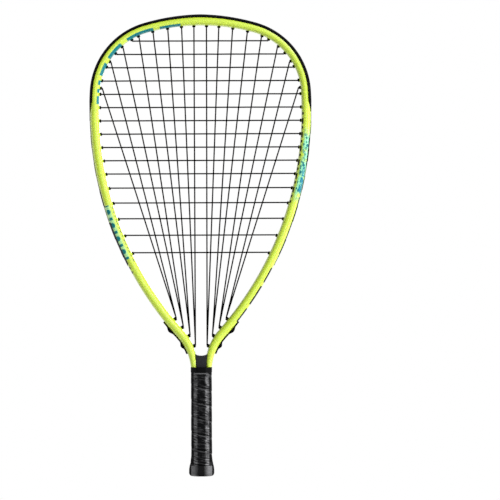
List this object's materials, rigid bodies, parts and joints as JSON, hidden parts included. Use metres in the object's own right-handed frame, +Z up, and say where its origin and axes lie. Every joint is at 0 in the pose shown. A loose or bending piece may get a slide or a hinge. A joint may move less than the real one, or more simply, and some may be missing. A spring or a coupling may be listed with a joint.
{
  "type": "racquetball racket",
  "caption": "Teardrop racquetball racket: hollow moulded hoop with a woven string bed, crown guard, grommet strips, throat bridge and a tape-wrapped octagonal handle with a flared butt.",
  "frame": {"origin": "centre of the butt cap's flat end", "axes": "+Z up the handle to the crown of the head, the strings lie in the XZ plane, and the face seen in the picture looks along -Y"},
  "size_m": [0.2691, 0.0344, 0.5588],
  "materials": {
    "frame_lacquer": "gloss",
    "guard_plastic": "satin",
    "string_nylon": "satin",
    "bridge_plastic": "matte",
    "core_plastic": "matte",
    "grip_tape": "matte",
    "collar_rubber": "matte",
    "butt_rubber": "matte"
  },
  "bodies": {
    "root": {"frame_tube": "frame_lacquer", "bumper_guard": "guard_plastic", "grommet_strip_left": "guard_plastic", "grommet_strip_right": "guard_plastic", "throat_strip_left": "guard_plastic", "throat_strip_right": "guard_plastic", "main_string": "string_nylon", "cross_string": "string_nylon", "throat_bridge": "bridge_plastic", "handle_shell_front": "core_plastic", "handle_shell_back": "core_plastic", "grip": "grip_tape", "grip_collar": "collar_rubber", "butt_cap": "butt_rubber"}
  },
  "joints": []
}
